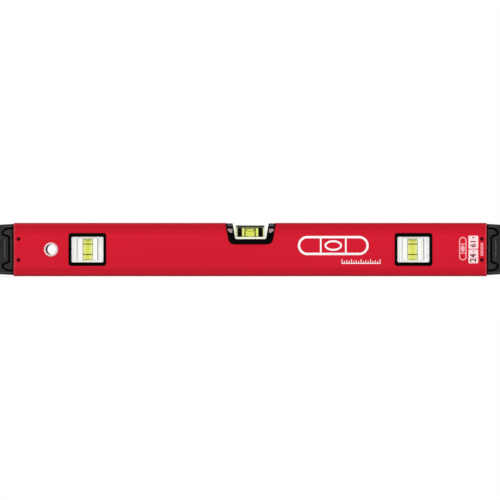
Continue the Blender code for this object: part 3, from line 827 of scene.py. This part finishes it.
# ------------------------------------------------------------------ plumb vials
for s in ("left", "right"):
    x = PLUMB[s]
    for sy, face in ((-1, "front"), (1, "rear")):
        W, H = 19.5, 15.58
        sec = [
            (W, H, 1.7, 9.0),
            (W, H, 1.7, 14.0),
            (W + 0.06, H + 0.06, 1.75, 14.4),
            (W + 0.22, H + 0.22, 1.9, 14.7),
            (W + 0.5, H + 0.5, 2.1, 14.88),
            (W + 1.0, H + 1.0, 2.3, 14.96),
        ]
        OW, OH = 23.0, 20.1
        for k in range(7):
            a = math.radians(90 * k / 6)
            sec.append((OW - 1.5 + 1.5 * math.sin(a), OH - 1.5 + 1.5 * math.sin(a), 3.3, 13.62 + 1.34 * math.cos(a)))
        sec += [
            (WIN_W - 0.3, WIN_H - 0.3, 2.1, 13.62),
            (WIN_W - 0.3, WIN_H - 0.3, 2.1, 9.0),
        ]
        piece(
            f"{s}_plumb_frame_{face}",
            rect_ring(x + FX[s], MID_Z, [(a, b, r, sy * t) for a, b, r, t in sec], 8),
            BLACK,
            nodes=(f"{s}_plumb_bezel_{face}",),
            slot="bezel_plastic",
            smooth=50,
        )
    oW, oH, oR = WIN_W - 0.3, WIN_H - 0.3, 2.1
    half = [
        (oW, oH, oR, 8.4),
        (oW - 0.3, oH - 0.3, oR, 8.7),
        (17.1, 15.2, 1.3, 8.7),
        (16.6, 14.9, 1.0, 8.3),
        (16.5, 14.8, 1.0, 6.6),
        (16.2, 14.5, 0.9, 6.3),
        (14.6, 13.52, 0.8, 6.3),
        (14.3, 13.44, 0.8, 6.05),
        (13.25, 13.38, 0.5, 5.2),
        (13.2, 13.35, 0.5, 4.8),
    ]
    sec = [(a, b, r, y) for a, b, r, y in half] + [(a, b, r, -y) for a, b, r, y in reversed(half)]
    piece(f"{s}_plumb_reflector", rect_ring(x + FX[s], MID_Z, sec, 6), WHITE, nodes=(f"{s}_plumb_holder",), slot="white_plastic", smooth=30)

    blk = raw(f"{s}_plumb_acrylic", box(x - 12.5, x + 12.0, -7.8, 7.8, MID_Z - 13.1, MID_Z + 13.1))
    finish_piece(blk, ACRYLIC, ROOT, (f"{s}_plumb_block",), "clear_acrylic", bevel=0.6, seg=3, angle=30)

    prof = [(0, -12.3), (5.95, -12.3), (6.35, -12.15), (6.52, -11.8)]
    prof += [(6.52 + 0.06 * (1 - (t / 11.8) ** 2), t) for t in [-10 + 2 * k for k in range(11)]]
    prof += [(6.52, 11.8), (6.35, 12.15), (5.95, 12.3), (0, 12.3)]
    piece(f"{s}_plumb_liquid", revolve(prof, "Z", (x, 0, MID_Z), 72), FLUID_P, nodes=(f"{s}_plumb_fluid",), slot="vial_fluid", smooth=60)
    for z, where in ((6.6, "upper"), (-6.15, "lower")):
        sec = [(6.1, z - 0.42), (6.1, z + 0.42), (6.2, z + 0.52), (6.46, z + 0.52), (6.46, z - 0.52), (6.2, z - 0.52)]
        piece(f"{s}_plumb_ring_{where}", revolve(sec, "Z", (x, 0, MID_Z), 72, True), RINGS, nodes=(f"{s}_plumb_line_{where}",), slot="vial_line", smooth=50)
    for sg, where in ((1, "top"), (-1, "bottom")):
        sec = [(0, sg * 12.4), (5.9, sg * 12.4), (6.1, sg * 12.55), (6.1, sg * 12.95), (5.9, sg * 13.05), (0, sg * 13.05)]
        piece(f"{s}_plumb_stopper_{where}", revolve(sec, "Z", (x, 0, MID_Z), 72), PLUG, nodes=(f"{s}_plumb_plug_{where}",), slot="clear_acrylic", smooth=50)
    lo, hi = node_box(f"{s}_plumb_bubble")
    zt = hi.z + 0.15
    prof = [(0, -2.1), (1.5, -2.06), (3.0, -1.9), (4.2, -1.55), (5.0, -1.1), (5.3, -0.7), (5.25, -0.35), (4.9, -0.1), (4.3, 0.0), (0, 0.02)]
    prof = [(r, t) for r, t in prof]
    zc = zt
    piece(f"{s}_plumb_air", revolve(prof, "Z", (x, 0, zc), 64), BUBBLE_P, s + "_plumb_bubble_body", (f"{s}_plumb_bubble",), slot="vial_bubble", smooth=80, wn=False)

# ------------------------------------------------------------------ centre vial
TOP_Z = node_box("centre_vial_housing")[1].z
house = raw("centre_vial_surround", prism(housing_outline(-1.5, TOP_Z), -14.0, 14.0, "Y"))
joins = []
for sy in (-1, 1):
    a, b = sorted((sy * 13.2, sy * 15.0))
    joins.append(prism(housing_outline(0.0, TOP_Z), a, b, "Y"))
cut(house, joins, "UNION")
IN = 0.176
opening = [(19.0 + IN * 33.1, 80.0), (19.0, 46.9)]
for k in range(1, 6):
    a = math.radians(90 * k / 6)
    opening.append((17.3 + 1.7 * math.cos(a), 46.8 - 1.7 * math.sin(a)))
opening.append((17.3, 45.1))
opening = opening + [(-a, b) for a, b in reversed(opening)]
opening = [(a + XC, b) for a, b in opening]
cuts = [prism(opening, -20, 20, "Y"), box(XC - 18.4, XC + 18.4, -11.5, 11.5, 43.8, 46.0)]


def scoop_floor(z):
    """The floor of a scoop leans out towards the bottom."""
    return 14.75 - 0.3 * (z - 52.6)


def wedge(sx, sy, pts, near, far):
    """A shape on one wing between two depths, each a function of height."""
    bm = prism([(XC + sx * a, b) for a, b in pts], 0.0, 1.0, "Y")
    for q in bm.verts:
        pick = far if q.co.y > 0.0005 else near
        q.co.y = sy * pick(q.co.z / MM) * MM
    return bm


SCOOP = [(22.0, 52.6), (24.8, 52.6), (28.2, 55.2), (28.4, 57.9), (22.0, 57.9)]
PAD = [(22.2, 52.8), (24.7, 52.8), (28.0, 55.35), (28.15, 57.7), (22.2, 57.7)]
for sx in (-1, 1):
    for sy in (-1, 1):
        # a sloping thumb rest across the top of each wing
        x0, x1 = sorted((XC + sx * 15.0, XC + sx * 36.0))
        cuts.append(prism([(sy * 16.0, 60.3), (sy * 14.6, 60.3), (sy * 13.6, 62.2), (sy * 13.1, 64.0), (sy * 13.0, 66.0), (sy * 16.0, 66.0)], x0, x1, "X"))
for sx in (-1, 1):
    for sy in (-1, 1):
        cuts.append(wedge(sx, sy, SCOOP, scoop_floor, lambda z: 20.0))
cut(house, cuts)
finish_piece(house, BLACK, ROOT, ("centre_vial_housing",), "bezel_plastic", bevel=0.5, seg=3, angle=50)
# grey pads that line the scoops on the wings, a painted reflection of the light on their sloping floors
pads = []
for sx in (-1, 1):
    for sy in (-1, 1):
        pads.append(wedge(sx, sy, PAD, lambda z: scoop_floor(z) - 0.4, lambda z: scoop_floor(z) + 0.12))
piece("centre_vial_scoop_pads", merge(*pads), GREY, slot="bezel_plastic", bevel=0.12, seg=2)
# dusky pads on the thumb rests, a painted highlight on the sloping tops of the wings
pads = []
for sx in (-1, 1):
    for sy in (-1, 1):
        x0, x1 = sorted((XC + sx * 22.3, XC + sx * 28.6))
        pads.append(prism([(sy * 14.62, 60.5), (sy * 13.7, 62.2), (sy * 13.22, 63.9), (sy * 12.6, 63.9), (sy * 12.6, 60.5)], x0, x1, "X"))
piece("centre_vial_thumb_pads", merge(*pads), DUSK, slot="bezel_plastic", bevel=0.1, seg=2)

u = [(21.5, 63.6), (18.65, 46.6), (18.1, 45.6), (18.1, 44.1)]
outline = [(a + XC, b) for a, b in u] + [(XC - a, b) for a, b in reversed(u)]
outline += [(-17.4, 63.6), (-17.4, 47.64), (17.4, 47.64), (17.4, 63.6)]
refl = raw("centre_vial_white_cradle", prism(outline, -11.2, 11.2, "Y"))
cut(refl, [box(-17.36, 17.36, -8.2, 8.2, 46.1, 50.0)])
finish_piece(refl, CRADLE, ROOT, ("centre_vial_reflector",), "white_plastic", bevel=0.35, seg=3, angle=50)

blk = raw("centre_vial_acrylic", box(-17.05, 17.05, -7.8, 7.8, 46.4, 61.8))
finish_piece(blk, ACRYLIC, ROOT, ("centre_vial_block",), "clear_acrylic", bevel=0.7, seg=3, angle=30)
R = 6.25
prof = [(0, -15.95), (5.7, -15.95), (6.1, -15.8), (R, -15.5)]
prof += [(R + 0.08 * (1 - (t / 15.3) ** 2), t) for t in [-12 + 3 * k for k in range(9)]]
prof += [(R, 15.5), (6.1, 15.8), (5.7, 15.95), (0, 15.95)]
piece("centre_vial_liquid", revolve(prof, "X", (0, 0, CV_Z), 96), FLUID, nodes=("centre_vial_fluid",), slot="vial_fluid", smooth=60)
for sg, where in ((-1, "left"), (1, "right")):
    a, b = sorted((sg * 9.96 - 0.04, sg * 15.4))
    sec = [(5.9, a), (5.9, b), (5.98, b + 0.08), (R - 0.03, b + 0.08), (R - 0.03, a - 0.08), (5.98, a - 0.08)]
    piece(f"centre_vial_sleeve_{where}", revolve(sec, "X", (0, 0, CV_Z), 72, True), BANDS, nodes=(f"centre_vial_band_{where}",), slot="vial_line", smooth=50)
    z = sg * 6.2 - 0.12
    sec = [(5.92, z - 0.6), (5.92, z + 0.6), (5.98, z + 0.68), (R - 0.02, z + 0.68), (R - 0.02, z - 0.68), (5.98, z - 0.68)]
    piece(f"centre_vial_ring_{where}", revolve(sec, "X", (0, 0, CV_Z), 72, True), RINGS, nodes=(f"centre_vial_line_{where}",), slot="vial_line", smooth=50)
    sec = [(0, sg * 16.0), (5.9, sg * 16.0), (6.05, sg * 16.12), (6.05, sg * 16.4), (5.9, sg * 16.5), (0, sg * 16.5)]
    piece(f"centre_vial_stopper_{where}", revolve(sec, "X", (0, 0, CV_Z), 72), PLUG, nodes=(f"centre_vial_plug_{where}",), slot="clear_acrylic", smooth=50)
# the bubble follows the roof of the bore above and is a shallow bowl below
lo, hi = node_box("centre_vial_bubble")
bx = (lo.x + hi.x) / 2
bm = bmesh.new()
bmesh.ops.create_uvsphere(bm, u_segments=64, v_segments=32, radius=1.0)
for q in bm.verts:
    nx, ny, nz = q.co
    X, Y = nx * 5.35, ny * 4.5
    base = CV_Z + 3.0
    if nz >= 0:
        roof = CV_Z + math.sqrt(5.84**2 - Y * Y)
        k = 1 - (1 - nz) ** 2.2
        Z = base + (roof - base) * k
    else:
        Z = base + nz * 2.55
    q.co = v(bx + X, Y, Z)
piece("centre_vial_air", bm, BUBBLE, "centre_bubble_body", ("centre_vial_bubble",), slot="vial_bubble", smooth=80, wn=False)
# dark strip along the top edge of the block, front and rear
bars = [box(-17.38, 17.38, *sorted((sy * 7.86, sy * 8.1)), 59.7, 61.55) for sy in (-1, 1)]
piece("centre_vial_dark_strip", merge(*bars), DARK_STRIP, slot="bezel_plastic")

# ------------------------------------------------------------------ printed graphics
INK_Y0, INK_Y1 = -WEB_Y + 0.05, -WEB_Y - 0.06


def ink(name, polys, mat=INK, depth=0.0):
    """Thin closed prints on the web. Each polygon is a list of (x, z)."""
    bms = [prism(p, INK_Y1 - depth, INK_Y0 - depth, "Y") for p in polys]
    return piece(name, merge(*bms), mat, slot="red_paint", wn=False)


def ring_print(name, outer_pts, inner_pts, mat=INK):
    bm = bmesh.new()
    n = len(outer_pts)
    rows = [
        [bm.verts.new(v(x, y, z)) for x, z in pts]
        for pts, y in ((outer_pts, INK_Y0), (outer_pts, INK_Y1), (inner_pts, INK_Y1), (inner_pts, INK_Y0))
    ]
    for i in range(4):
        a, b = rows[i], rows[(i + 1) % 4]
        for k in range(n):
            q = (k + 1) % n
            bm.faces.new((a[k], a[q], b[q], b[k]))
    return piece(name, bm, mat, slot="red_paint", wn=False)


def ellipse(cx, cz, a, b, n=48):
    return [(cx + a * math.cos(2 * math.pi * k / n), cz + b * math.sin(2 * math.pi * k / n)) for k in range(n)]


def rect(x0, x1, z0, z1):
    return [(x0, z0), (x1, z0), (x1, z1), (x0, z1)]


# a plain pictogram of a vial, with a ruler edge below it, where the real level carries its mark
cx, cz = 101.0, 37.2
ring_print("print_vial_outline", rrect(cx, cz, 43.0, 11.6, 11.5, 16), rrect(cx, cz, 40.2, 8.8, 8.7, 16))
ring_print("print_bubble_outline", ellipse(cx, cz, 10.6, 6.4), ellipse(cx, cz, 8.3, 4.1))
ink("print_vial_lines", [rect(cx + sg * 15.2 - 1.0, cx + sg * 15.2 + 1.0, cz - 8.9, cz + 8.9) for sg in (-1, 1)])
ticks = []
for k in range(17):
    x = 111.5 + 2.9 * k
    h = 4.6 if k % 4 == 0 else (3.4 if k % 2 == 0 else 2.4)
    ticks.append(rect(x - 0.45, x + 0.45, 16.0, 16.0 + h))
ticks.append(rect(110.9, 158.5, 15.0, 16.0))
ink("print_ruler_edge", ticks)

# size tag with the length in the two units
tx, tw = 271.2, 5.95
ink("print_tag_upper", [rrect(tx, 41.15, tw, 7.9, 1.2, 5)], TAG)
ink("print_tag_lower", [rrect(tx, 24.0, tw, 8.35, 1.2, 5)], TAG)


def numerals(name, text, x, z, size):
    cu = bpy.data.curves.new(name, "FONT")
    cu.body = text
    cu.align_x = "CENTER"
    cu.align_y = "CENTER"
    cu.size = size * MM
    cu.extrude = 0.05 * MM
    cu.offset = 0.22 * MM
    cu.resolution_u = 4
    tmp = bpy.data.objects.new(name + "_t", cu)
    bpy.context.scene.collection.objects.link(tmp)
    dg = bpy.context.evaluated_depsgraph_get()
    me = bpy.data.meshes.new_from_object(tmp.evaluated_get(dg), depsgraph=dg)
    bpy.data.objects.remove(tmp, do_unlink=True)
    me.transform(Matrix.Rotation(math.radians(90), 4, "X") @ Matrix.Rotation(math.radians(90), 4, "Z"))
    me.transform(Matrix.Translation(v(x, -WEB_Y - 0.1, z)))
    me.name = name
    ob = bpy.data.objects.new(name, me)
    bpy.context.scene.collection.objects.link(ob)
    return finish_piece(ob, TAGINK, ROOT, (), "red_paint", wn=False)


numerals("print_tag_61", "61", tx, 39.6, 9.4)
numerals("print_tag_24", "24", tx, 22.2, 10.4)
ink("print_tag_marks", [rect(tx - 1.1, tx + 1.1, 46.0, 47.7), rect(tx - 0.9, tx - 0.2, 29.6, 31.0), rect(tx + 0.2, tx + 0.9, 29.6, 31.0)], TAGINK, 0.05)

# an upright vial pictogram beside the tag, and a row of dashes between the latch holes
sx0 = 258.4
ring_print("print_upright_outline", rrect(sx0, 33.4, 4.6, 14.2, 4.5, 10), rrect(sx0, 33.4, 3.2, 12.8, 3.15, 10), PINK)
ink("print_upright_marks", [rect(sx0 - 3.3, sx0 + 3.3, 33.4 + 5.6 * g - 0.6, 33.4 + 5.6 * g + 0.6) for g in (-1, 1)] + [ellipse(sx0, 33.4, 2.5, 4.0, 24)], PINK)
ink("print_dashes", [rect(279.9, 283.2, 24.9 + 1.6 * k, 25.95 + 1.6 * k) for k in range(10)], PINK)

# ------------------------------------------------------------------ stage
floor_me = bpy.data.meshes.new("floor")
bm = bmesh.new()
REACH = 1.9
ring = [bm.verts.new((REACH * math.cos(math.pi * k / 32), REACH * math.sin(math.pi * k / 32), -0.0002)) for k in range(64)]
bm.faces.new(ring)
bm.to_mesh(floor_me)
bm.free()
floor = bpy.data.objects.new("floor", floor_me)
bpy.context.scene.collection.objects.link(floor)
fm = Mat("pale_floor")
fm.colour(fm.mix(fm.remap(fm.noise(3, 3), 0, 1), (0.93, 0.93, 0.93), (0.95, 0.95, 0.95)))
fm.set(Roughness=0.9, Specular_IOR_Level=0.1, Emission_Color=(1, 1, 1, 1))
# The floor glows with painted light, from 0.5 within 0.45 m of the middle up to 1.0 beyond 1.3 m.
dist = fm.node("ShaderNodeVectorMath", operation="LENGTH")
fm.link(fm.co, dist.inputs[0])
fm.link(fm.remap(dist.outputs["Value"], 0.5, 1.0, 0.45, 1.3), fm.b.inputs["Emission Strength"])
floor_me.materials.append(fm.m)
floor.visible_diffuse = False
floor.visible_glossy = False
floor.visible_transmission = False

world = bpy.data.worlds.new("studio")
bpy.context.scene.world = world
world.use_nodes = True
wt = world.node_tree
bg = wt.nodes["Background"]
lp = wt.nodes.new("ShaderNodeLightPath")
tc = wt.nodes.new("ShaderNodeTexCoord")
sep = wt.nodes.new("ShaderNodeSeparateXYZ")
wt.links.new(tc.outputs["Generated"], sep.inputs[0])
ab = wt.nodes.new("ShaderNodeMath")
ab.operation = "ABSOLUTE"
wt.links.new(sep.outputs["Y"], ab.inputs[0])
ramp = wt.nodes.new("ShaderNodeMapRange")
ramp.interpolation_type = "SMOOTHSTEP"
ramp.inputs["From Min"].default_value = 0.55
ramp.inputs["From Max"].default_value = 0.9
ramp.inputs["To Min"].default_value = 0.30
ramp.inputs["To Max"].default_value = 1.0
wt.links.new(ab.outputs[0], ramp.inputs["Value"])


def wmix(fac, a, b):
    n = wt.nodes.new("ShaderNodeMix")
    n.data_type = "FLOAT"
    wt.links.new(fac, n.inputs[0])
    for i, x in ((2, a), (3, b)):
        if isinstance(x, float):
            n.inputs[i].default_value = x
        else:
            wt.links.new(x, n.inputs[i])
    return n.outputs[0]


AMBIENT, GLOSS = 0.24, 0.09
val = wmix(lp.outputs["Is Glossy Ray"], AMBIENT, GLOSS)
val = wmix(lp.outputs["Is Transmission Ray"], val, ramp.outputs["Result"])
val = wmix(lp.outputs["Is Camera Ray"], val, 1.0)
bg.inputs["Color"].default_value = (1, 1, 1, 1)
wt.links.new(val, bg.inputs["Strength"])
world.cycles.sampling_method = "NONE"


def lamp(name, loc, size, power, aim=(0, 0, 0.032), glossy=True):
    la = bpy.data.lights.new(name, "AREA")
    la.shape = "RECTANGLE"
    la.size, la.size_y = size
    la.energy = power
    ob = bpy.data.objects.new(name, la)
    ob.location = loc
    d = Vector(loc) - Vector(aim)
    ob.rotation_euler = d.to_track_quat("Z", "Y").to_euler()
    ob.visible_camera = False
    ob.visible_transmission = False
    ob.visible_glossy = glossy
    bpy.context.scene.collection.objects.link(ob)
    return ob


lamp("front", (0.0, -7.0, 0.45), (3.2, 1.2), 425, glossy=False)
lamp("key", (-1.1, -1.6, 1.9), (1.2, 0.8), 7)
lamp("side", (2.2, -1.2, 0.9), (0.8, 0.8), 3.0)
lamp("rear", (0.6, 7.0, 1.6), (3.2, 2.0), 400, glossy=False)
lamp("rear_key", (1.2, 1.8, 1.9), (1.2, 0.8), 7)
lamp("top", (0.0, 0.2, 2.2), (1.8, 0.5), 6)

# ------------------------------------------------------------------ camera
cam = bpy.data.cameras.new("camera")
cam_ob = bpy.data.objects.new("camera", cam)
bpy.context.scene.collection.objects.link(cam_ob)
DIST, HALF = 3.0, 0.30365
cam_ob.location = (-0.0002, -0.015 - DIST, 0.03176)
cam_ob.rotation_euler = (math.radians(90), 0, 0)
cam.sensor_width = 36.0
cam.lens = 18.0 * DIST / HALF
cam.clip_start, cam.clip_end = 0.05, 100
bpy.context.scene.camera = cam_ob
bpy.context.scene.view_settings.view_transform = "Standard"
bpy.context.scene.view_settings.look = "None"
